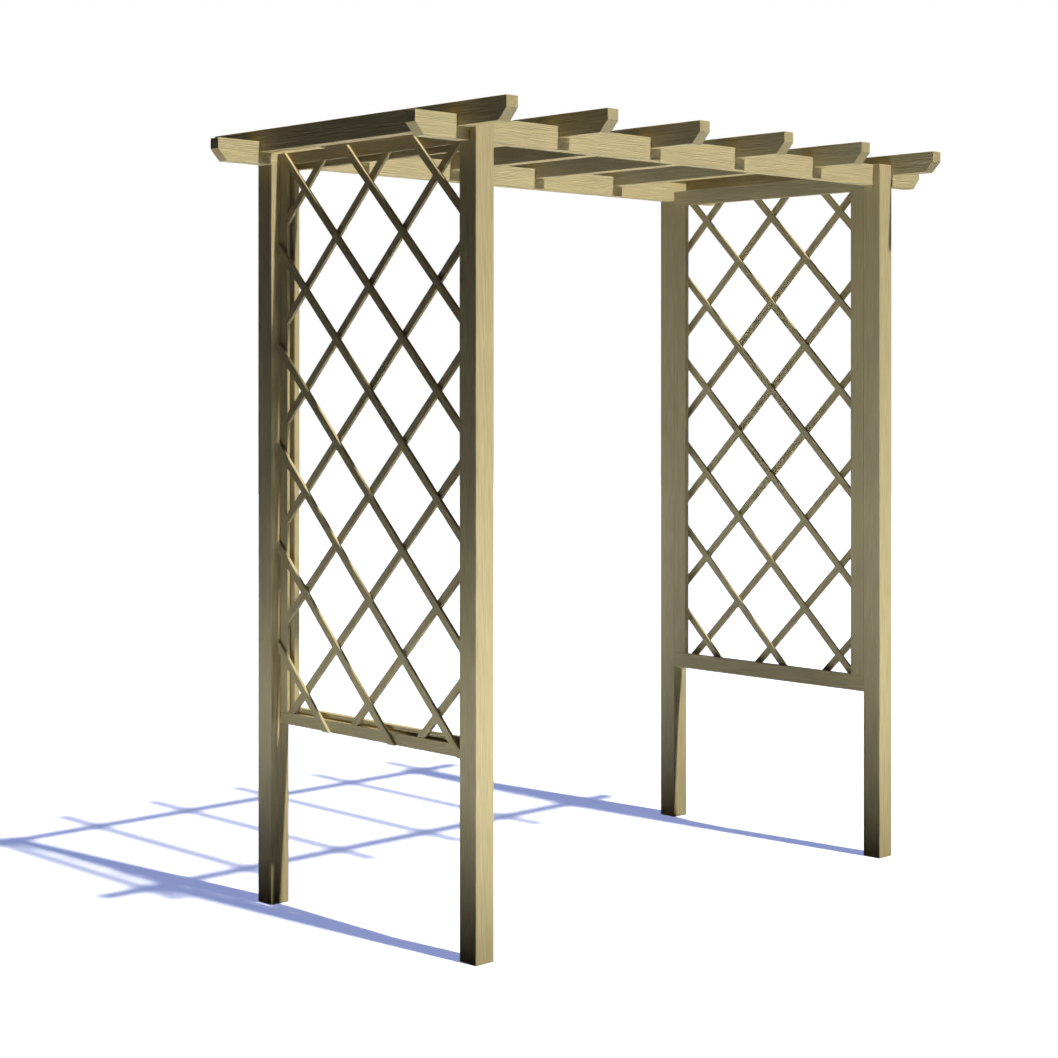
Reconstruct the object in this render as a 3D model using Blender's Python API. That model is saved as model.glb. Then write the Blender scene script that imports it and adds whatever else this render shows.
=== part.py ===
"""Timber pergola arch with two trellis sides, modelled as its separate pieces of wood.

Four square posts carry two beams, and six rafters are notched over the beams. Between the front
and the rear post of each side stands a trellis panel: a rebated frame, a border of thin bars laid
on it, and two crossing layers of laths. Metres, +Z up. X runs along the beams, Y from the front
to the rear, and the origin is on the ground at the middle of the overall box.
"""

from math import cos, pi, radians, tan

import bpy
from mathutils import Vector

# ---- overall sizes -----------------------------------------------------------------------------
SPAN = 1.984  # outer faces of the left and right posts
DEPTH = 1.030  # outer faces of the front and rear posts
POST_TOP = 2.425  # also the top of the beams
GAP = 0.0003  # working gap between two pieces that touch

# ---- sections ----------------------------------------------------------------------------------
POST = 0.070  # square post
BEAM_THICK = 0.042
BEAM_HIGH = 0.071
RAFTER_THICK = 0.045
RAFTER_HIGH = 0.070

# ---- roof --------------------------------------------------------------------------------------
BEAM_OVERHANG = 0.205  # past the outer faces of the posts
RAFTER_OVERHANG = 0.174
RAFTER_COUNT = 6
RAFTER_SEAT = 0.034  # depth of the notch that drops a rafter over a beam
NOSE = 0.034  # upright part of every beam and rafter end
CUT_RUN = 0.033  # length of the slanting cut under each end

# ---- trellis panels ----------------------------------------------------------------------------
PANEL_FOOT = 0.576  # underside of the panels above the ground
PANEL_TOP = POST_TOP - RAFTER_SEAT  # level with the underside of the rafters
FRAME_WIDE = 0.055  # stiles and rails of the rebated frame
FRAME_THICK = 0.020
LIP_WIDE = 0.029  # raised strip round the outside of the frame, which carries the border
LIP_HIGH = 0.0044
BORDER_WIDE = 0.037
LATH_WIDE = 0.024
LATH_THICK = 0.010
LATH_ANGLE = radians(45.4)  # above the horizontal
LATH_PITCH = 0.317  # upright distance from one lath to the next

# ---- positions worked out from the sizes -------------------------------------------------------
HALF_SPAN = SPAN / 2
HALF_DEPTH = DEPTH / 2
PANEL_LONG = DEPTH - 2 * POST - 2 * GAP
PANEL_HIGH = PANEL_TOP - PANEL_FOOT
FRAME_X = HALF_SPAN - POST + FRAME_THICK / 2  # middle of the frame's thickness
BORDER_X = HALF_SPAN - POST + FRAME_THICK + LIP_HIGH + GAP + LATH_THICK / 2
OUTER_X = BORDER_X + LATH_THICK + GAP

WOOD = {
    "post_timber": ((0.486, 0.417, 0.238, 1.0), 0.62),
    "beam_timber": ((0.509, 0.434, 0.250, 1.0), 0.62),
    "trellis_timber": ((0.462, 0.396, 0.226, 1.0), 0.66),
}


def clear_scene():
    """Removes what the start-up file put in the scene."""
    for item in list(bpy.data.objects):
        bpy.data.objects.remove(item, do_unlink=True)


def new_collection(name, hidden=False):
    """A collection linked to the scene."""
    made = bpy.data.collections.new(name)
    bpy.context.scene.collection.children.link(made)
    made.hide_render = hidden
    return made


def timber(slot, node):
    """A Principled material of that timber for one piece."""
    colour, rough = WOOD[slot]
    made = bpy.data.materials.new(f"{slot}.{node}")
    made.use_nodes = True
    shader = made.node_tree.nodes["Principled BSDF"]
    shader.inputs["Base Color"].default_value = colour
    shader.inputs["Roughness"].default_value = rough
    shader.inputs["Metallic"].default_value = 0.0
    return made


def finish(item, slot, group):
    """Puts a piece in its collection, under the root, with its own material."""
    group.objects.link(item)
    item.parent = ROOT
    if item.data is not None and slot is not None:
        item.data.materials.append(timber(slot, item.name))
    return item


def box(name, size, middle, slot, group):
    """A block of that size about its middle."""
    bpy.ops.mesh.primitive_cube_add(size=1.0)
    item = bpy.context.active_object
    item.name = name
    item.data.name = name
    for vertex in item.data.vertices:
        vertex.co = Vector([co * long for co, long in zip(vertex.co, size)])
    item.location = middle
    for home in list(item.users_collection):
        home.objects.unlink(item)
    return finish(item, slot, group)


def board(name, outline, thick, place, turn, slot):
    """A flat outline given a thickness: a 2D curve, extruded both ways from its plane."""
    curve = bpy.data.curves.new(name, "CURVE")
    curve.dimensions = "2D"
    curve.fill_mode = "BOTH"
    curve.extrude = thick / 2
    line = curve.splines.new("POLY")
    line.points.add(len(outline) - 1)
    for point, (u, v) in zip(line.points, outline):
        point.co = (u, v, 0.0, 1.0)
    line.use_cyclic_u = True
    item = bpy.data.objects.new(name, curve)
    item.rotation_euler = turn
    item.location = place
    return finish(item, slot, PARTS)


def cut(item, name, size, middle):
    """Takes a block out of a piece."""
    tool = box(name, size, middle, None, CUTTERS)
    tool.hide_render = True
    tool.display_type = "WIRE"
    step = item.modifiers.new("notch", "BOOLEAN")
    step.operation = "DIFFERENCE"
    step.solver = "EXACT"
    step.object = tool


def clip(outline, inside, cross):
    """One step of cutting a convex outline with a straight line."""
    kept = []
    for here, after in zip(outline, outline[1:] + outline[:1]):
        if inside(here):
            kept.append(here)
        if inside(here) != inside(after):
            kept.append(cross(here, after))
    return kept


def clip_to_box(outline, low, high):
    """The part of a convex outline inside an upright rectangle."""
    for axis in (0, 1):
        for bound, side in ((low[axis], 1), (high[axis], -1)):

            def inside(point, axis=axis, bound=bound, side=side):
                return side * (point[axis] - bound) >= 0

            def cross(here, after, axis=axis, bound=bound):
                share = (bound - here[axis]) / (after[axis] - here[axis])
                return tuple(a + share * (b - a) for a, b in zip(here, after))

            outline = clip(outline, inside, cross)
    return outline


# ---- posts -------------------------------------------------------------------------------------
def post(name, side, end):
    """A post, notched at its top from the inside so that a tongue stands outside the beam."""
    x = side * (HALF_SPAN - POST / 2)
    y = end * (HALF_DEPTH - POST / 2)
    item = box(name, (POST, POST, POST_TOP), (x, y, POST_TOP / 2), "post_timber", PARTS)
    spare = 0.020
    deep = BEAM_THICK + GAP
    high = BEAM_HIGH + GAP
    notch_y = end * (HALF_DEPTH - POST + (deep - spare) / 2)
    notch_z = POST_TOP - high + (high + spare) / 2
    size = (POST + 2 * spare, deep + spare, high + spare)
    cut(item, f"cut_{name}", size, (x, notch_y, notch_z))
    return item


# ---- beams and rafters -------------------------------------------------------------------------
def end_cut_outline(half, top, bottom, slots):
    """Side view of a beam or rafter: upright noses, slanting cuts under them, notches from below."""
    points = [(-half, top), (-half, top - NOSE), (-half + CUT_RUN, bottom)]
    for near, far, seat in slots:
        points += [(near, bottom), (near, seat), (far, seat), (far, bottom)]
    points += [(half - CUT_RUN, bottom), (half, top - NOSE), (half, top)]
    return points


def beam(name, end):
    """A beam that lies in the notches of the two front or the two rear posts."""
    half = HALF_SPAN + BEAM_OVERHANG
    y = end * (HALF_DEPTH - POST + BEAM_THICK / 2)
    outline = end_cut_outline(half, POST_TOP, POST_TOP - BEAM_HIGH, [])
    return board(name, outline, BEAM_THICK, (0, y, 0), (pi / 2, 0, 0), "beam_timber")


def rafter(name, x):
    """A rafter notched over both beams."""
    half = HALF_DEPTH + RAFTER_OVERHANG
    bottom = POST_TOP - RAFTER_SEAT
    inner = HALF_DEPTH - POST - GAP
    outer = HALF_DEPTH - POST + BEAM_THICK + GAP
    seat = POST_TOP + GAP
    slots = [(-outer, -inner, seat), (inner, outer, seat)]
    outline = end_cut_outline(half, bottom + RAFTER_HIGH, bottom, slots)
    return board(name, outline, RAFTER_THICK, (x, 0, 0), (pi / 2, 0, pi / 2), "beam_timber")


# ---- trellis panels ----------------------------------------------------------------------------
def rebated(length_side):
    """Section of a frame member: u across its width from the outer edge, v through its thickness."""
    half = FRAME_THICK / 2
    points = [(0, -half), (FRAME_WIDE, -half), (FRAME_WIDE, half), (LIP_WIDE, half)]
    points += [(LIP_WIDE, half + LIP_HIGH), (0, half + LIP_HIGH)]
    return [(length_side * u, v) for u, v in points]


def lath_outline(rise, offset, low, high):
    """A lath's strip, clipped to the rectangle that it fills. rise is +1 or -1."""
    slope = rise * tan(LATH_ANGLE)
    tall = LATH_WIDE / cos(LATH_ANGLE)
    reach = 2 * PANEL_LONG
    strip = [
        (-reach, offset - slope * reach),
        (reach, offset + slope * reach),
        (reach, offset + slope * reach + tall),
        (-reach, offset - slope * reach + tall),
    ]
    return clip_to_box(strip, low, high)


def lath_offsets(rise, start, low, high):
    """Heights, at the panel's middle, of the lower edges of the laths that cross the rectangle."""
    found = []
    for step in range(-12, 13):
        offset = start + step * LATH_PITCH
        outline = lath_outline(rise, offset, low, high)
        if len(outline) > 2:
            ys = [point[0] for point in outline]
            if max(ys) - min(ys) > LATH_WIDE:
                found.append(offset)
    return sorted(found, reverse=True)


def panel(side):
    """One side's panel. Its outer face looks away from the walkway, and the right-hand panel is
    the left-hand one turned half round, so that u runs to the rear on the left side only."""
    word = "left" if side < 0 else "right"
    near, far = ("front", "rear") if side < 0 else ("rear", "front")
    face = (pi / 2, 0, -pi / 2) if side < 0 else (pi / 2, 0, pi / 2)
    run = -side  # direction of u in world Y
    half = PANEL_LONG / 2
    slot = "trellis_timber"

    def flat(name, outline, x):
        # the board's own x runs against u on the turned panel's outer face
        mirrored = [(-u, v) for u, v in outline]
        return board(name, mirrored, LATH_THICK, (side * x, 0, 0), face, slot)

    # rebated frame: rails the full length, stiles between them
    for name, edge, way in (("rail_bottom", PANEL_FOOT, 1), ("rail_top", PANEL_TOP, -1)):
        section = [(side * v, way * u) for u, v in rebated(1)]
        place = (side * FRAME_X, 0, edge)
        board(f"{word}_frame_{name}", section, PANEL_LONG, place, (pi / 2, 0, 0), slot)
    stile_long = PANEL_HIGH - 2 * FRAME_WIDE - 2 * GAP
    middle_z = (PANEL_FOOT + PANEL_TOP) / 2
    for end, way in ((near, -1), (far, 1)):
        section = [(side * v, u) for u, v in rebated(-way * run)]
        place = (side * FRAME_X, way * run * half, middle_z)
        board(f"{word}_frame_stile_{end}", section, stile_long, place, (0, 0, 0), slot)

    # border bars, in the plane of the inner laths
    b = BORDER_WIDE
    low, high = (-half, PANEL_FOOT), (half, PANEL_TOP)
    bottom = [(-half, low[1]), (half, low[1]), (half, low[1] + b), (-half, low[1] + b)]
    flat(f"{word}_border_bottom", bottom, BORDER_X)
    in_low = (-half + b + GAP, PANEL_FOOT + b + GAP)
    in_high = (half - b - GAP, PANEL_TOP - b - GAP)
    for end, way in ((near, -1), (far, 1)):
        u0, u1 = sorted((way * half, way * (half - b)))
        bar = [(u0, in_low[1]), (u1, in_low[1]), (u1, high[1]), (u0, high[1])]
        flat(f"{word}_border_{end}", bar, BORDER_X)
    top_low = PANEL_TOP - b
    top = [(in_low[0], top_low), (in_high[0], top_low), (in_high[0], high[1]), (in_low[0], high[1])]
    flat(f"{word}_border_top", top, BORDER_X)

    # laths: the outer layer runs over the border, the inner layer stops inside it
    drop = half * tan(LATH_ANGLE)
    tall = LATH_WIDE / cos(LATH_ANGLE)
    layers = (
        ("outer", 1, PANEL_TOP - drop, low, high, OUTER_X),
        ("inner", -1, PANEL_FOOT + drop - tall, in_low, in_high, BORDER_X),
    )
    for layer, rise, start, a, c, x in layers:
        for count, offset in enumerate(lath_offsets(rise, start, a, c), 1):
            outline = lath_outline(rise, offset, a, c)
            flat(f"{word}_lath_{layer}_{count}", outline, x)


clear_scene()
PARTS = new_collection("pergola_arch")
CUTTERS = new_collection("pergola_arch_cutters", hidden=True)
ROOT = bpy.data.objects.new("pergola_arch_root", None)
PARTS.objects.link(ROOT)

for side_name, side_way in (("left", -1), ("right", 1)):
    for end_name, end_way in (("front", -1), ("rear", 1)):
        post(f"post_{end_name}_{side_name}", side_way, end_way)

beam("beam_front", -1)
beam("beam_rear", 1)

FIRST_X = -(HALF_SPAN + GAP + RAFTER_THICK / 2)
RAFTER_STEP = -2 * FIRST_X / (RAFTER_COUNT - 1)
for number in range(RAFTER_COUNT):
    rafter(f"rafter_{number + 1}", FIRST_X + number * RAFTER_STEP)

panel(-1)
panel(1)
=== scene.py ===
# %% [markdown]
# # A timber pergola arch
#
# The real object is a garden arch of planed, pressure-treated pine. Four square posts carry two
# beams. Six rafters are notched over the beams and run past them at the front and the rear. Each
# side is closed by a trellis panel: a rebated frame, a border of thin bars, and two crossing
# layers of laths.
#
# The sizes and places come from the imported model. This script gives every piece of wood its
# finished surface: eased edges, a grain that runs along it, and rings where a saw crossed it.

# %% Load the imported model
from math import cos, pi, radians, tan

import bpy
import numpy as np
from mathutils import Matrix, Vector


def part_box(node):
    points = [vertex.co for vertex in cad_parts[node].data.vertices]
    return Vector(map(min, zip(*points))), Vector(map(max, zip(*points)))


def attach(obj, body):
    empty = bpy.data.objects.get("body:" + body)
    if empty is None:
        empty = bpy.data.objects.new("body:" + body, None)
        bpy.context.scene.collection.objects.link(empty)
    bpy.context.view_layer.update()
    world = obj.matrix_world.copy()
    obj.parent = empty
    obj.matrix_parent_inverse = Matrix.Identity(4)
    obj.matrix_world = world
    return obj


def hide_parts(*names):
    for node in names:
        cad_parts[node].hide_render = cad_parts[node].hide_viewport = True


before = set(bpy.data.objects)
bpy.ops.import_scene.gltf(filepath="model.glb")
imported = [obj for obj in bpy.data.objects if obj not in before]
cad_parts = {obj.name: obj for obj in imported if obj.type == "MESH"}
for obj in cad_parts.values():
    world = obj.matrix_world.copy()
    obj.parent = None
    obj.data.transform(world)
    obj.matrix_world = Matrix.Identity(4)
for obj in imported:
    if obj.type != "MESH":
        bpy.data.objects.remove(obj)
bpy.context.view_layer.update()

scene = bpy.context.scene
scene.view_settings.view_transform = "Standard"
print(len(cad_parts), "pieces of wood in the model")

# %% [markdown]
# ## Colours
#
# Colours are written as sRGB hex, the way a paint program shows them. A renderer adds light in
# linear numbers, so one function turns the first into the second.


# %% Hex to linear
def linear(hex_colour):
    """Each channel c becomes c / 12.92 if it is small, and ((c + 0.055) / 1.055) ^ 2.4 if not."""
    channel = np.array([int(hex_colour[i : i + 2], 16) for i in (1, 3, 5)]) / 255
    low = channel / 12.92
    high = ((channel + 0.055) / 1.055) ** 2.4
    return (*np.where(channel <= 0.04045, low, high).tolist(), 1.0)


print("pale pine is", [round(c, 3) for c in linear("#c0b085")[:3]], "in linear numbers")

# %% [markdown]
# ## Building a material from nodes
#
# A material is a small graph. Adding a node, setting it and joining its inputs is always the same
# step, so one short function does it. What is given for an input is either a value or another
# node's output.


# %% One function that adds a node
def add(tree, kind, inputs=None, **settings):
    """Adds a node of that kind, sets its settings, and sets or links its inputs."""
    node = tree.nodes.new(kind)
    for name, value in settings.items():
        setattr(node, name, value)
    for name, value in (inputs or {}).items():
        if isinstance(value, bpy.types.NodeSocket):
            tree.links.new(value, node.inputs[name])
        else:
            node.inputs[name].default_value = value
    return node


def empty_material(name):
    """A material with an empty node tree."""
    made = bpy.data.materials.new(name)
    made.use_nodes = True
    made.node_tree.nodes.clear()
    return made, made.node_tree


# %% [markdown]
# ## Planed, pressure-treated pine
#
# A board is cut from a trunk, and a trunk is a stack of cones: each year adds a pale layer of
# earlywood and a thin darker line of latewood. If the pattern is worked out in three dimensions,
# the long streaks on the faces and the rings on the sawn ends come from the same cones and meet at
# the edges. An image or a flat pattern on each face would break there.
#
# So each board carries an attribute called grain, which gives every point's place in its own
# trunk in metres: x along the fibres, y and z across them from the pith. The attribute called sawn
# is 1 where the surface is an end that a saw cut, and tone makes one board a little darker or
# paler than the next, as in a stack of real boards.
#
# Copper treatment gives the pale wood its green cast. A planer leaves a matt surface, on which the
# fibres show as fine, straight, faint streaks.

# %% Real sizes of the pattern, in metres
RING = 0.0030  # one year's growth
TAPER = 0.012  # slope of the cones, which stretches the rings into long streaks
SWAY = 0.004  # how far the pith wanders
SWAY_SCALE = (0.8, 5.0, 5.0)  # how often it does, for each metre along and across the trunk
FIBRE = 0.0028  # width of a streak of fibres; real ones are finer, drawn as coarse as they show
FIBRE_LENGTH = 0.11
BAND = 0.014  # width of the broad, faint bands
BAND_LENGTH = 0.9
print("rings", 1000 * RING, "mm, fibres", 1000 * FIBRE, "mm, bands", 1000 * BAND, "mm")


# %% Rings, as a number from 0 at the start of a year to 1 at its end
def year_rings(tree, grain):
    """season = fraction of ((distance from the pith + taper x length) / ring width), where a slow
    noise has first moved the point sideways, because a trunk isn't straight."""
    slow = add(tree, "ShaderNodeMapping", {"Vector": grain, "Scale": SWAY_SCALE})
    noise = add(tree, "ShaderNodeTexNoise", {"Vector": slow.outputs[0], "Scale": 1.0})
    shift = add(
        tree,
        "ShaderNodeVectorMath",
        {0: noise.outputs["Color"], 1: (0.0, SWAY, SWAY), 2: grain},
        operation="MULTIPLY_ADD",
    )
    part = add(tree, "ShaderNodeSeparateXYZ", {"Vector": shift.outputs[0]})
    flat = add(tree, "ShaderNodeCombineXYZ", {"Y": part.outputs["Y"], "Z": part.outputs["Z"]})
    radius = add(tree, "ShaderNodeVectorMath", {0: flat.outputs[0]}, operation="LENGTH")
    cone = add(
        tree,
        "ShaderNodeMath",
        {0: part.outputs["X"], 1: TAPER, 2: radius.outputs["Value"]},
        operation="MULTIPLY_ADD",
    )
    years = add(tree, "ShaderNodeMath", {0: cone.outputs[0], 1: RING}, operation="DIVIDE")
    return add(tree, "ShaderNodeMath", {0: years.outputs[0]}, operation="FRACT").outputs[0]


# %% Streaks, as a noise that is drawn out along the grain
def drawn_noise(tree, grain, length, width, detail):
    """Noise of (x / length, y / width, z / width), so its spots are that long and that wide."""
    place = add(
        tree, "ShaderNodeMapping", {"Vector": grain, "Scale": (1 / length, 1 / width, 1 / width)}
    )
    inputs = {"Vector": place.outputs[0], "Scale": 1.0, "Detail": detail, "Roughness": 0.6}
    return add(tree, "ShaderNodeTexNoise", inputs).outputs["Fac"]


# %% How strongly each part of the pattern shows
LATE_START, LATE_FULL, LATE_END = 0.30, 0.92, 0.99  # shares of a year's ring
LATE_REST = 0.15  # what is left of the dark line where the next year starts
PLANED_RINGS = 0.3  # a plane cuts along the rings, so they show less than on a sawn end
NOISE_LOW, NOISE_HIGH = 0.35, 0.65  # most of a noise lies between these
FIBRE_DEPTH, BAND_DEPTH = 0.12, 0.02  # how much paler or darker a streak or a band is
FIBRE_HIGH = 0.0070  # relief of the streaks, raised as much as their width was
FIBRE_STRENGTH = 0.6
ROUGH = 0.62  # as a planer leaves it
POLISH = 0.12  # hard latewood is smoother by this much
PINE_IOR = 1.5
print("rings show to", PLANED_RINGS, "on planed faces and to 1 on sawn ends")


# %% The pine itself
def planed_pine(name, early, late):
    """Colour = mix of early and late wood by season x the board's own tone x streaks x bands, where
    a streak or a band is a factor between 1 - depth and 1 + depth."""
    made, tree = empty_material(name)
    grain = add(tree, "ShaderNodeAttribute", attribute_name="grain").outputs["Vector"]
    tone = add(tree, "ShaderNodeAttribute", attribute_name="tone").outputs["Fac"]
    sawn = add(tree, "ShaderNodeAttribute", attribute_name="sawn").outputs["Fac"]

    # latewood comes on slowly and stops sharply; it shows fully only on a sawn end
    season = year_rings(tree, grain)
    line = add(tree, "ShaderNodeValToRGB", {"Fac": season})
    ramp = line.color_ramp.elements
    ramp[0].position, ramp[0].color = LATE_START, (0, 0, 0, 1)
    ramp[1].position, ramp[1].color = LATE_FULL, (1, 1, 1, 1)
    ramp.new(LATE_END).color = (LATE_REST, LATE_REST, LATE_REST, 1)
    seen = add(
        tree, "ShaderNodeMapRange", {"Value": sawn, "To Min": PLANED_RINGS, "To Max": 1.0}
    )
    factor = add(
        tree,
        "ShaderNodeMath",
        {0: line.outputs["Color"], 1: seen.outputs["Result"]},
        operation="MULTIPLY",
    )
    wood = add(
        tree,
        "ShaderNodeMix",
        {"Factor": factor.outputs[0], "A": linear(early), "B": linear(late)},
        data_type="RGBA",
    )

    fibre = drawn_noise(tree, grain, FIBRE_LENGTH, FIBRE, 2.0)
    band = drawn_noise(tree, grain, BAND_LENGTH, BAND, 2.0)
    shade = tone
    for noise, depth in ((fibre, FIBRE_DEPTH), (band, BAND_DEPTH)):
        limits = {
            "From Min": NOISE_LOW,
            "From Max": NOISE_HIGH,
            "To Min": 1 - depth,
            "To Max": 1 + depth,
        }
        streak = add(tree, "ShaderNodeMapRange", {"Value": noise, **limits}).outputs["Result"]
        both = add(tree, "ShaderNodeMath", {0: shade, 1: streak}, operation="MULTIPLY")
        shade = both.outputs[0]
    colour = add(
        tree,
        "ShaderNodeVectorMath",
        {0: wood.outputs[2], "Scale": shade},
        operation="SCALE",
    )

    # hard latewood takes a little more polish from the planer; the fibres give the fine relief
    gloss = add(
        tree,
        "ShaderNodeMapRange",
        {"Value": line.outputs["Color"], "To Min": ROUGH, "To Max": ROUGH - POLISH},
    )
    bump = add(
        tree,
        "ShaderNodeBump",
        {"Height": fibre, "Strength": FIBRE_STRENGTH, "Distance": FIBRE_HIGH},
    )
    shader = add(
        tree,
        "ShaderNodeBsdfPrincipled",
        {
            "Base Color": colour.outputs[0],
            "Roughness": gloss.outputs["Result"],
            "IOR": PINE_IOR,
            "Normal": bump.outputs["Normal"],
        },
    )
    add(tree, "ShaderNodeOutputMaterial", {"Surface": shader.outputs["BSDF"]})
    return made


# %% Three finishes of the same wood
POST_PINE = planed_pine("planed_pine_posts", "#c0b085", "#a79769")
BEAM_PINE = planed_pine("planed_pine_beams", "#c5b589", "#ab9b6d")
LATH_PINE = planed_pine("planed_pine_laths", "#bdad82", "#a49466")
print("materials:", [m.name for m in (POST_PINE, BEAM_PINE, LATH_PINE)])

# %% [markdown]
# ## The surface of a board
#
# Every piece here is flat stock: seen from one side it is an outline, and it has one thickness. A
# planed board has no sharp edges, because the arrises are eased so that they don't splinter, and
# they catch a thin line of light. A Bevel modifier could do it, but here the surface is worked out
# from two parameters. One runs along the outline, whose corners are small arcs. The other goes
# over the thickness: round one arris, straight across the edge, and round the other arris. While
# it rounds an arris, the outline shrinks by just as much as a quarter circle asks for. Only the
# narrow faces of an arris are shaded smooth, so the large ones stay as flat as a planer made them.


# %% An outline with rounded corners
def eased(corners, radius, steps):
    """Points round a closed outline, and the inward normal at each. At a corner the centre of the
    arc is corner + radius x (n1 + n2) / (1 + n1.n2), with n1 and n2 the inward normals of the two
    sides, and the points are centre - radius x n, with n turning from n1 to n2. A corner that
    points inwards has its centre on the other side."""
    corner = np.array(corners, float)
    following = np.roll(corner, -1, 0)
    area = np.sum(corner[:, 0] * following[:, 1] - corner[:, 1] * following[:, 0])
    if area < 0:
        corner = corner[::-1]
    side = np.roll(corner, -1, 0) - corner
    side /= np.linalg.norm(side, axis=1)[:, None]
    after = np.stack([-side[:, 1], side[:, 0]], 1)
    before = np.roll(after, 1, 0)
    turn = before[:, 0] * after[:, 1] - before[:, 1] * after[:, 0]
    sign = np.where(turn >= 0, 1.0, -1.0)[:, None]
    middle = corner + sign * radius * (before + after) / (1 + np.sum(before * after, 1))[:, None]
    share = np.linspace(0, 1, steps + 1)[None, :, None]
    normal = (1 - share) * before[:, None] + share * after[:, None]
    normal /= np.linalg.norm(normal, axis=2)[:, :, None]
    points = middle[:, None] - sign[:, None] * radius * normal
    return points.reshape(-1, 2), normal.reshape(-1, 2)


square = [(0, 0), (0.07, 0), (0.07, 0.07), (0, 0.07)]
print("an eased square has", len(eased(square, 0.002, 3)[0]), "points")

# %% The outline carried over the thickness
def board_surface(corners, thick, arris, steps):
    """point(k, i) = outline(i) + inset(k) x normal(i), at height(k). On an arris the inset is
    r (1 - sin a) and the height is half - r (1 - cos a), with a from 0 to 90 degrees. Gives the
    points as (rings, outline, 3), the faces, which are quads round the edge and two large flat
    ones, and whether each face is curved."""
    outline, normal = eased(corners, arris, steps)
    angle = np.linspace(0, pi / 2, steps + 1)
    inset = arris * (1 - np.sin(angle))
    height = thick / 2 - arris * (1 - np.cos(angle))
    inset = np.concatenate([inset, inset[::-1]])
    height = np.concatenate([-height, height[::-1]])
    flat = outline[None] + inset[:, None, None] * normal[None]
    rise = np.broadcast_to(height[:, None, None], (*flat.shape[:2], 1))
    points = np.concatenate([flat, rise], 2)
    cell = np.arange(flat.shape[0] * flat.shape[1]).reshape(flat.shape[:2])
    beside = np.roll(cell, -1, 1)
    quads = np.stack([cell[:-1], beside[:-1], beside[1:], cell[1:]], -1).reshape(-1, 4)
    ring, spot = np.divmod(np.arange(len(quads)), flat.shape[1])
    curved = (ring != steps) | (spot % (steps + 1) != steps)
    faces = quads.tolist() + [cell[0, ::-1].tolist(), cell[-1].tolist()]
    return points, faces, [*curved.tolist(), False, False]


print("a plain square post has", len(board_surface(square, 2.4, 0.002, 3)[1]), "faces")

# %% [markdown]
# The trunk of each board starts at a different place, with the pith outside the board as in most
# sawn timber, so no two boards have the same pattern. A saw cut is found from the faces: their
# normal points along the fibres more than across them.

# %% Where each point was in its trunk
rng = np.random.default_rng(42)
TRUNK_LONG = 9.0
PITH_ASIDE = 0.12  # the pith is at most this far to one side of the board's middle
PITH_BEHIND = (0.03, 0.13)  # and this far behind it


def trunk_places(home, along, through):
    """Each point's coordinates are its dot products with the directions along the fibres, across
    them and through the board, plus a random start beside the pith."""
    across = np.cross(along, through)
    start = [rng.uniform(0, TRUNK_LONG), rng.uniform(-PITH_ASIDE, PITH_ASIDE)]
    start.append(rng.uniform(*PITH_BEHIND))
    return np.stack([home @ along, home @ across, home @ through], 1) + start


def put(mesh, name, kind, domain, values):
    """Stores an array on a mesh as an attribute."""
    key = "vector" if kind == "FLOAT_VECTOR" else "value"
    attribute = mesh.attributes.new(name, kind, domain)
    attribute.data.foreach_set(key, np.asarray(values, np.float32).ravel())


print("the pith lies up to", round(1000 * np.hypot(PITH_ASIDE, PITH_BEHIND[1])), "mm away")

# %% One board
ARRIS = 0.0015  # a thick board is eased more than a thin one
POST_ARRIS, BAR_ARRIS, LATH_ARRIS = 0.002, 0.001, 0.0008
TONES = (0.98, 1.02)
SAWN_FROM, SAWN_FULL = 0.40, 0.65  # how far a normal lies along the fibres on a sawn face


def board(node, corners, thick, place, axes, fibres, finish, arris=ARRIS, steps=3):
    """A finished board in the place of a model's piece. Each point is place + the sum of its three
    numbers x the three axes: the outline lies along the first two and the thickness along the
    third. The grain runs along fibres. finish is a material and a slot name; the slot name is not
    used."""
    points, faces, curved = board_surface(corners, thick, arris, steps)
    axes = np.array(axes, float)
    if np.linalg.det(axes) < 0:
        faces = [face[::-1] for face in faces]
    home = points.reshape(-1, 3) @ axes
    name = f"{node}_wood"
    mesh = bpy.data.meshes.new(name)
    mesh.from_pydata((home + place).tolist(), [], faces)
    mesh.polygons.foreach_set("use_smooth", curved)

    along = np.array(fibres, float)
    through = axes[2] if abs(axes[2] @ along) < 0.5 else axes[0]
    put(mesh, "grain", "FLOAT_VECTOR", "POINT", trunk_places(home, along, through))
    put(mesh, "tone", "FLOAT", "POINT", np.full(len(home), rng.uniform(*TONES)))
    normal = np.empty(3 * len(mesh.polygons), np.float32)
    mesh.polygons.foreach_get("normal", normal)
    cut = np.abs(normal.reshape(-1, 3) @ along)
    sawn = np.clip((cut - SAWN_FROM) / (SAWN_FULL - SAWN_FROM), 0, 1)
    put(mesh, "sawn", "FLOAT", "FACE", sawn)

    material, slot = finish
    mesh.materials.append(material)
    piece = bpy.data.objects.new(name, mesh)
    scene.collection.objects.link(piece)
    piece.modifiers.new("flat_faces", "WEIGHTED_NORMAL").weight = 100
    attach(piece, "root")
    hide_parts(node)


X, Y, Z = (1, 0, 0), (0, 1, 0), (0, 0, 1)
GAP = 0.0003  # between two pieces that touch

# %% [markdown]
# ## Posts
#
# Each post is a 70 mm square length of pine. Its top is notched from the inside, so that the beam
# lies on a shoulder and an outer tongue hides the joint from outside. Seen from the side, that is
# an outline of six corners, which a box with a Boolean cut would also give, with harder edges.

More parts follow.
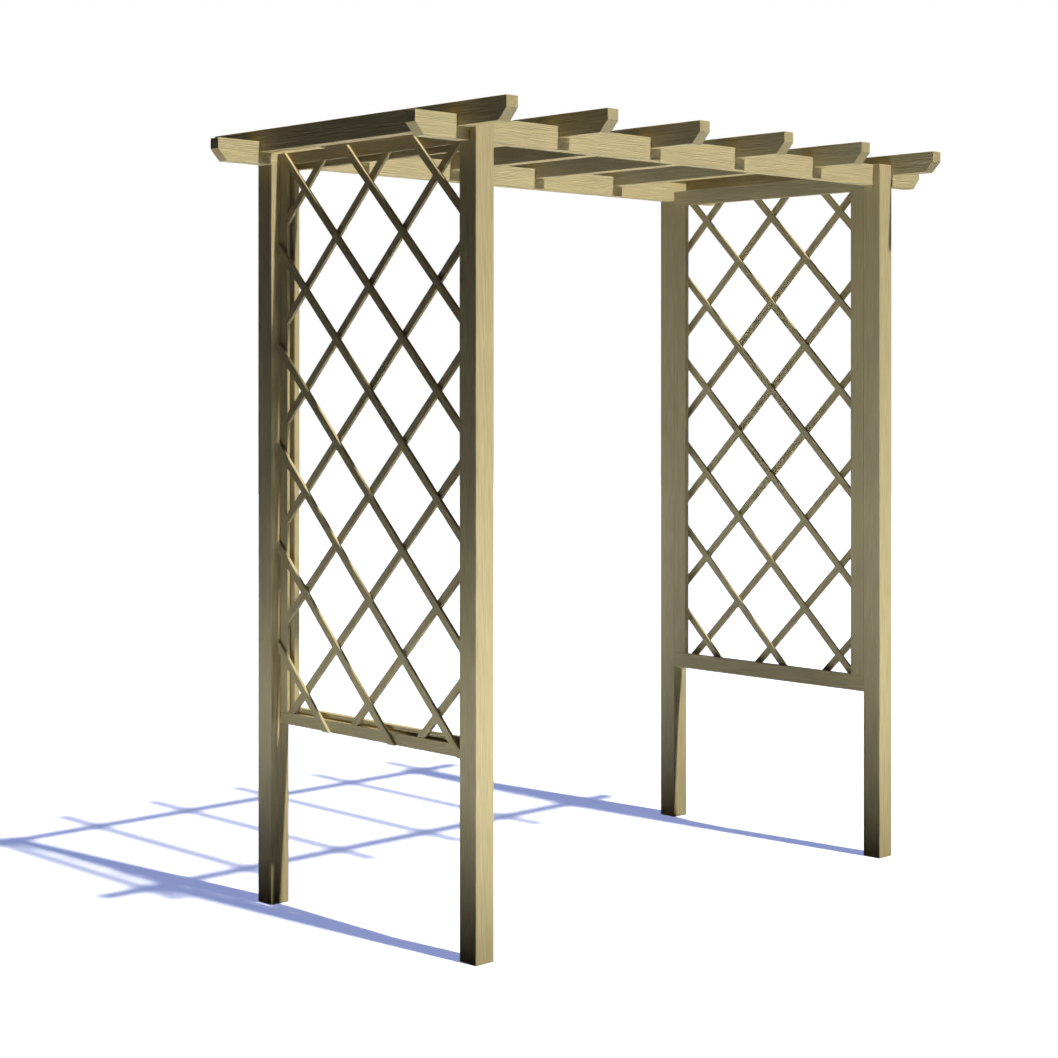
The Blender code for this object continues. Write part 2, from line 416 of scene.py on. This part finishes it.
# %% The four posts
POST_FINISH = (POST_PINE, "post_timber")
for end in ("front", "rear"):
    beam_low, beam_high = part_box(f"beam_{end}")
    for side in ("left", "right"):
        low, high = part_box(f"post_{end}_{side}")
        if end == "front":
            outer, inner, tongue = low.y, high.y, beam_low.y - GAP
        else:
            outer, inner, tongue = high.y, low.y, beam_high.y + GAP
        seat = beam_low.z - GAP
        side_view = [
            (outer, low.z),
            (inner, low.z),
            (inner, seat),
            (tongue, seat),
            (tongue, high.z),
            (outer, high.z),
        ]
        place = ((low.x + high.x) / 2, 0, 0)
        name, thick = f"post_{end}_{side}", high.x - low.x
        board(name, side_view, thick, place, (Y, Z, X), Z, POST_FINISH, POST_ARRIS)
print("post", [round(1000 * d) for d in high - low], "mm, seat at", round(1000 * seat), "mm")

# %% [markdown]
# ## Beams and rafters
#
# The ends of the beams and the rafters have the same cut: an upright nose of about half the
# height, and below it a slanting cut back to the underside. The rafters are notched from below, so
# that they drop over the beams and can't twist.

# %% The outline of a beam or a rafter
NOSE = 0.034  # upright part of an end
CUT_RUN = 0.033  # length of the slanting cut
BEAM_FINISH = (BEAM_PINE, "beam_timber")


def end_cuts(start, stop, bottom, top, notches=()):
    """Outline seen from the side, with its notches as (near, far, seat) along the underside."""
    under = []
    for near, far, seat in notches:
        under += [(near, bottom), (near, seat), (far, seat), (far, bottom)]
    return [
        (start, top),
        (start, top - NOSE),
        (start + CUT_RUN, bottom),
        *under,
        (stop - CUT_RUN, bottom),
        (stop, top - NOSE),
        (stop, top),
    ]


print("a plain beam has", len(end_cuts(-1.2, 1.2, 0, 0.07)), "corners")

# %% Two beams, then six rafters
notches = []
for end in ("front", "rear"):
    low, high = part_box(f"beam_{end}")
    notches.append((low.y - GAP, high.y + GAP, high.z + GAP))
    outline = end_cuts(low.x, high.x, low.z, high.z)
    place = (0, (low.y + high.y) / 2, 0)
    board(f"beam_{end}", outline, high.y - low.y, place, (X, Z, Y), X, BEAM_FINISH)

rafters = sorted(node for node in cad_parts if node.startswith("rafter_"))
for node in rafters:
    low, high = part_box(node)
    outline = end_cuts(low.y, high.y, low.z, high.z, notches)
    place = ((low.x + high.x) / 2, 0, 0)
    board(node, outline, high.x - low.x, place, (Y, Z, X), Y, BEAM_FINISH)
print(len(rafters), "rafters of", [round(1000 * d) for d in high - low], "mm")

# %% [markdown]
# ## Trellis panels
#
# A panel starts as a frame of two stiles and two rails. A rebate along the inside of the frame
# leaves a raised strip on its outer face. Thin border bars are fixed to that strip, and between
# them and the frame a narrow groove stays dark. The laths come in two layers that cross: the inner
# layer ends against the border bars, and the outer layer runs over them to the edge of the panel.

# %% The section of a rebated frame member
LIP_WIDE, LIP_HIGH = 0.029, 0.0044  # the raised strip
LATH_FINISH = (LATH_PINE, "trellis_timber")


def rebated(low, high, outside, strip_at_low):
    """L-shaped section: u across the member's width, v through its thickness. outside is the sign
    of the direction out of the arch, and the strip lies along the low or the high edge."""
    back, face = (high[1], low[1]) if outside < 0 else (low[1], high[1])
    ledge = face - outside * LIP_HIGH
    edge, inner = (low[0], high[0]) if strip_at_low else (high[0], low[0])
    turn = edge + (LIP_WIDE if strip_at_low else -LIP_WIDE)
    return [(edge, back), (inner, back), (inner, ledge), (turn, ledge), (turn, face), (edge, face)]


print("raised strip", 1000 * LIP_WIDE, "mm wide and", 1000 * LIP_HIGH, "mm high")

# %% Frames and borders of both panels
for side, outside in (("left", -1), ("right", 1)):
    for part in ("rail_bottom", "rail_top", "stile_front", "stile_rear"):
        low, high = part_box(f"{side}_frame_{part}")
        is_rail = part.startswith("rail")
        across, run = (2, 1) if is_rail else (1, 2)
        strip_at_low = part in ("rail_bottom", "stile_front")
        section = rebated((low[across], low.x), (high[across], high.x), outside, strip_at_low)
        place = [0, 0, 0]
        place[run] = (low[run] + high[run]) / 2
        axes = (Z, X, Y) if is_rail else (Y, X, Z)
        name, length = f"{side}_frame_{part}", high[run] - low[run]
        board(name, section, length, place, axes, axes[2], LATH_FINISH, BAR_ARRIS)
    for part in ("bottom", "top", "front", "rear"):
        low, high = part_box(f"{side}_border_{part}")
        outline = [(low.y, low.z), (high.y, low.z), (high.y, high.z), (low.y, high.z)]
        place = ((low.x + high.x) / 2, 0, 0)
        fibres = Y if part in ("bottom", "top") else Z
        name, thick = f"{side}_border_{part}", high.x - low.x
        board(name, outline, thick, place, (Y, Z, X), fibres, LATH_FINISH, BAR_ARRIS)
print("border bars are", round(1000 * thick, 1), "mm thick")

# %% [markdown]
# A lath is a straight strip that a saw cut off where it met the edge of the panel, so near a corner
# of the panel its end has two cuts. The model's own corner points give that outline: they lie on a
# convex polygon, so they are in order once they are sorted by their angle about the middle.


# %% The outline of a lath
def outline_of(node):
    """Corner points of a convex flat piece seen along X, sorted by the angle atan2(z, y) of each
    about their mean."""
    points = np.array([v.co[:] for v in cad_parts[node].data.vertices])[:, 1:]
    points = np.unique(points.round(5), axis=0)
    around = points - points.mean(0)
    return points[np.argsort(np.arctan2(around[:, 1], around[:, 0]))]


print("the first lath has", len(outline_of("left_lath_outer_1")), "corners")

# %% Both layers of laths in both panels
laths = sorted(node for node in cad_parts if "_lath_" in node)
for node in laths:
    low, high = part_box(node)
    outline = outline_of(node)
    sides = np.roll(outline, -1, 0) - outline
    lengths = np.linalg.norm(sides, axis=1)
    longest = sides[np.argmax(lengths)] / lengths.max()
    place, thick = ((low.x + high.x) / 2, 0, 0), high.x - low.x
    fibres = (0, *longest)
    board(node, outline, thick, place, (Y, Z, X), fibres, LATH_FINISH, LATH_ARRIS, steps=2)
print(len(laths), "laths, the last", round(1000 * lengths.max()), "mm long on its longer edge")

# %% [markdown]
# ## Floor
#
# The floor is a plain pale sheet. In the sun it is pure white. A weak blue glow is painted into it
# and lights nothing: it is the painted shade that a shadow on the floor shows, in place of a sky.
# It doesn't throw light back on the wood or stop light from below: the lamps and the glow under it
# do that work, where it can be steered.

# %% Pale floor
FLOOR_HALF = 20.0
FLOOR_PALE = "#f2f2f2"
SHADOW_BLUE, SHADOW_LEVEL = "#8291c8", 0.9
corners = [(-FLOOR_HALF, -FLOOR_HALF, 0), (FLOOR_HALF, -FLOOR_HALF, 0)]
corners += [(FLOOR_HALF, FLOOR_HALF, 0), (-FLOOR_HALF, FLOOR_HALF, 0)]
floor_mesh = bpy.data.meshes.new("floor")
floor_mesh.from_pydata(corners, [], [(0, 1, 2, 3)])
floor = bpy.data.objects.new("floor", floor_mesh)
scene.collection.objects.link(floor)
floor_paint, tree = empty_material("pale_floor_painted_shadow_glow")
# the emission is painted shadow colour: a blue glow that shows where the sun doesn't reach and
# lights nothing else
shader = add(
    tree,
    "ShaderNodeBsdfPrincipled",
    {
        "Base Color": linear(FLOOR_PALE),
        "Roughness": 0.9,
        "Emission Color": linear(SHADOW_BLUE),
        "Emission Strength": SHADOW_LEVEL,
    },
)
add(tree, "ShaderNodeOutputMaterial", {"Surface": shader.outputs["BSDF"]})
floor_mesh.materials.append(floor_paint)
floor.visible_diffuse = False
floor.visible_glossy = False
floor.visible_shadow = False
print("floor", 2 * FLOOR_HALF, "m square")

# %% [markdown]
# ## Glow of the floor
#
# A bright studio floor lights the wood from below. Near the posts it is in their own shade, so the
# feet stay dark and the light is strongest at knee height. A sheet just under the floor does this:
# it glows in a ring round the arch, and the camera doesn't see it.

# %% A ring of light just under the floor
GLOW_MIDDLE = np.array([-0.10, -0.06])
GLOW_REACH, GLOW_FADE = 2.2, 0.12
GLOW_DEPTH = 0.002  # under the floor
GLOW_POINTS = 121  # along each side of the sheet
DARK_FOOT = (1.0, 1.1)  # no light nearer a post than the first, all of it past the second
GLOW_STRENGTH = 9.0
PALE_LIGHT = "#eef5fa"


def smooth(low, high, value):
    """0 below low, 1 above high, and 3t^2 - 2t^3 between, with t the share of the way."""
    t = np.clip((value - low) / (high - low), 0, 1)
    return t * t * (3 - 2 * t)


steps = np.linspace(-GLOW_REACH, GLOW_REACH, GLOW_POINTS)
gx, gy = np.meshgrid(GLOW_MIDDLE[0] + steps, GLOW_MIDDLE[1] + steps)
boxes = [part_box(node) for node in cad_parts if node.startswith("post_")]
feet = [(low + high) / 2 for low, high in boxes]
near = np.min([np.hypot(gx - foot.x, gy - foot.y) for foot in feet], axis=0)
far = np.hypot(gx - GLOW_MIDDLE[0], gy - GLOW_MIDDLE[1])
glow = smooth(*DARK_FOOT, near) * (1 - smooth(GLOW_REACH - GLOW_FADE, GLOW_REACH, far))
print("glowing share of the sheet", round(float(glow.mean()), 2))

# %% The sheet and its material
cell = np.arange(gx.size).reshape(gx.shape)
quads = np.stack([cell[:-1, :-1], cell[:-1, 1:], cell[1:, 1:], cell[1:, :-1]], -1)
points = np.stack([gx, gy, np.full(gx.shape, -GLOW_DEPTH)], -1)
glow_mesh = bpy.data.meshes.new("floor_glow")
glow_mesh.from_pydata(points.reshape(-1, 3).tolist(), [], quads.reshape(-1, 4).tolist())
put(glow_mesh, "glow", "FLOAT", "POINT", glow)
glow_sheet = bpy.data.objects.new("floor_glow", glow_mesh)
scene.collection.objects.link(glow_sheet)
glow_paint, tree = empty_material("floor_glow")
level = add(tree, "ShaderNodeAttribute", attribute_name="glow").outputs["Fac"]
strength = add(tree, "ShaderNodeMath", {0: level, 1: GLOW_STRENGTH}, operation="MULTIPLY")
emit = add(
    tree,
    "ShaderNodeEmission",
    {"Color": linear(PALE_LIGHT), "Strength": strength.outputs[0]},
)
add(tree, "ShaderNodeOutputMaterial", {"Surface": emit.outputs["Emission"]})
glow_mesh.materials.append(glow_paint)
glow_sheet.visible_camera = False
glow_sheet.visible_shadow = False
print("glow sheet", 2 * GLOW_REACH, "m square,", gx.size, "points")

# %% [markdown]
# ## Lamps
#
# A sun lamp from high in front gives the bright front faces and the shadow on the floor. A second
# one shines straight up, as light that the floor throws back, and reaches only undersides. A third
# is a weak, wide fill from behind, so that the rear doesn't go black. Two low strip lights, one
# outside on the left and one inside between the posts, brighten the wood at knee height.

# %% Three distant lamps
SUN_HIGH = radians(60)
SUN_TURN = radians(5.8)  # the light drifts this far to the left on its way to the rear
SUN_TRAVEL = (-tan(SUN_TURN), 1, -tan(SUN_HIGH) / cos(SUN_TURN))
DISTANT = {  # energy, apparent width in degrees, colour, direction of travel
    "sun": (5.2, 1.5, "#fffdf4", SUN_TRAVEL),
    "bounce": (1.15, 6.0, "#fffaf0", (0, 0, 1)),
    "fill": (0.25, 40.0, "#ffffff", (-0.55, -0.80, -0.22)),
}


def hang(name, data, place, travel):
    """Puts a lamp in the scene and turns its -Z axis to the way its light travels."""
    lamp = bpy.data.objects.new(name, data)
    scene.collection.objects.link(lamp)
    lamp.location = place
    lamp.rotation_euler = Vector(travel).to_track_quat("-Z", "Y").to_euler()
    lamp.visible_camera = False


for name, (energy, width, colour, travel) in DISTANT.items():
    data = bpy.data.lights.new(name, "SUN")
    data.energy = energy
    data.angle = radians(width)
    data.color = linear(colour)[:3]
    hang(name, data, (0, 0, 5), travel)  # a distant lamp shines the same from any place
print("distant lamps:", list(DISTANT))

# %% Two low strip lights
STRIP_WIDE = 0.2
STRIPS = {  # power, place, aimed at, length, spread in degrees
    "strip_left": (1.6, (-2.25, 0.0, 0.04), (-0.99, 0.0, 0.70), 3.0, 40),
    "strip_inside": (0.8, (0.0, -0.45, 0.04), (0.0, 0.445, 0.75), 1.2, 50),
}
for name, (power, place, aim, length, angle) in STRIPS.items():
    data = bpy.data.lights.new(name, "AREA")
    data.shape = "RECTANGLE"
    data.size, data.size_y = length, STRIP_WIDE
    data.energy = power
    data.spread = radians(angle)
    data.color = linear(PALE_LIGHT)[:3]
    hang(name, data, place, np.subtract(aim, place))
print("strip lights:", list(STRIPS))

# %% [markdown]
# ## World and camera
#
# The world is white where the camera sees it and nearly dark as a light, so the background is
# plain and the shade keeps its depth. The camera stands to the left in front, level, at the height
# of a person's eyes, and a small shift brings the whole arch into the frame.

# %% World
SHADE_TINT, SHADE_LEVEL = "#c8d2ff", 0.014
world = bpy.data.worlds.new("studio")
world.use_nodes = True
scene.world = world
tree = world.node_tree
tree.nodes.clear()
dim = add(
    tree, "ShaderNodeBackground", {"Color": linear(SHADE_TINT), "Strength": SHADE_LEVEL}
)
white = add(tree, "ShaderNodeBackground", {"Color": (1, 1, 1, 1), "Strength": 1.0})
seen = add(tree, "ShaderNodeLightPath").outputs["Is Camera Ray"]
both = add(
    tree,
    "ShaderNodeMixShader",
    {"Fac": seen, 1: dim.outputs["Background"], 2: white.outputs["Background"]},
)
add(tree, "ShaderNodeOutputWorld", {"Surface": both.outputs["Shader"]})
print("the world lights with", SHADE_LEVEL, "and looks white")

# %% Camera
STAND = (-4.975, -4.8409, 1.662)  # where the camera is, in metres
HEADING = radians(44.106)  # to the right of straight ahead
camera_data = bpy.data.cameras.new("camera")
camera_data.lens = 70.31
camera_data.sensor_width = 36
camera_data.shift_y = -0.1385
camera = bpy.data.objects.new("camera", camera_data)
scene.collection.objects.link(camera)
camera.location = STAND
camera.rotation_euler = (pi / 2, 0, -HEADING)
scene.camera = camera
print("camera at", [round(c, 2) for c in camera.location])
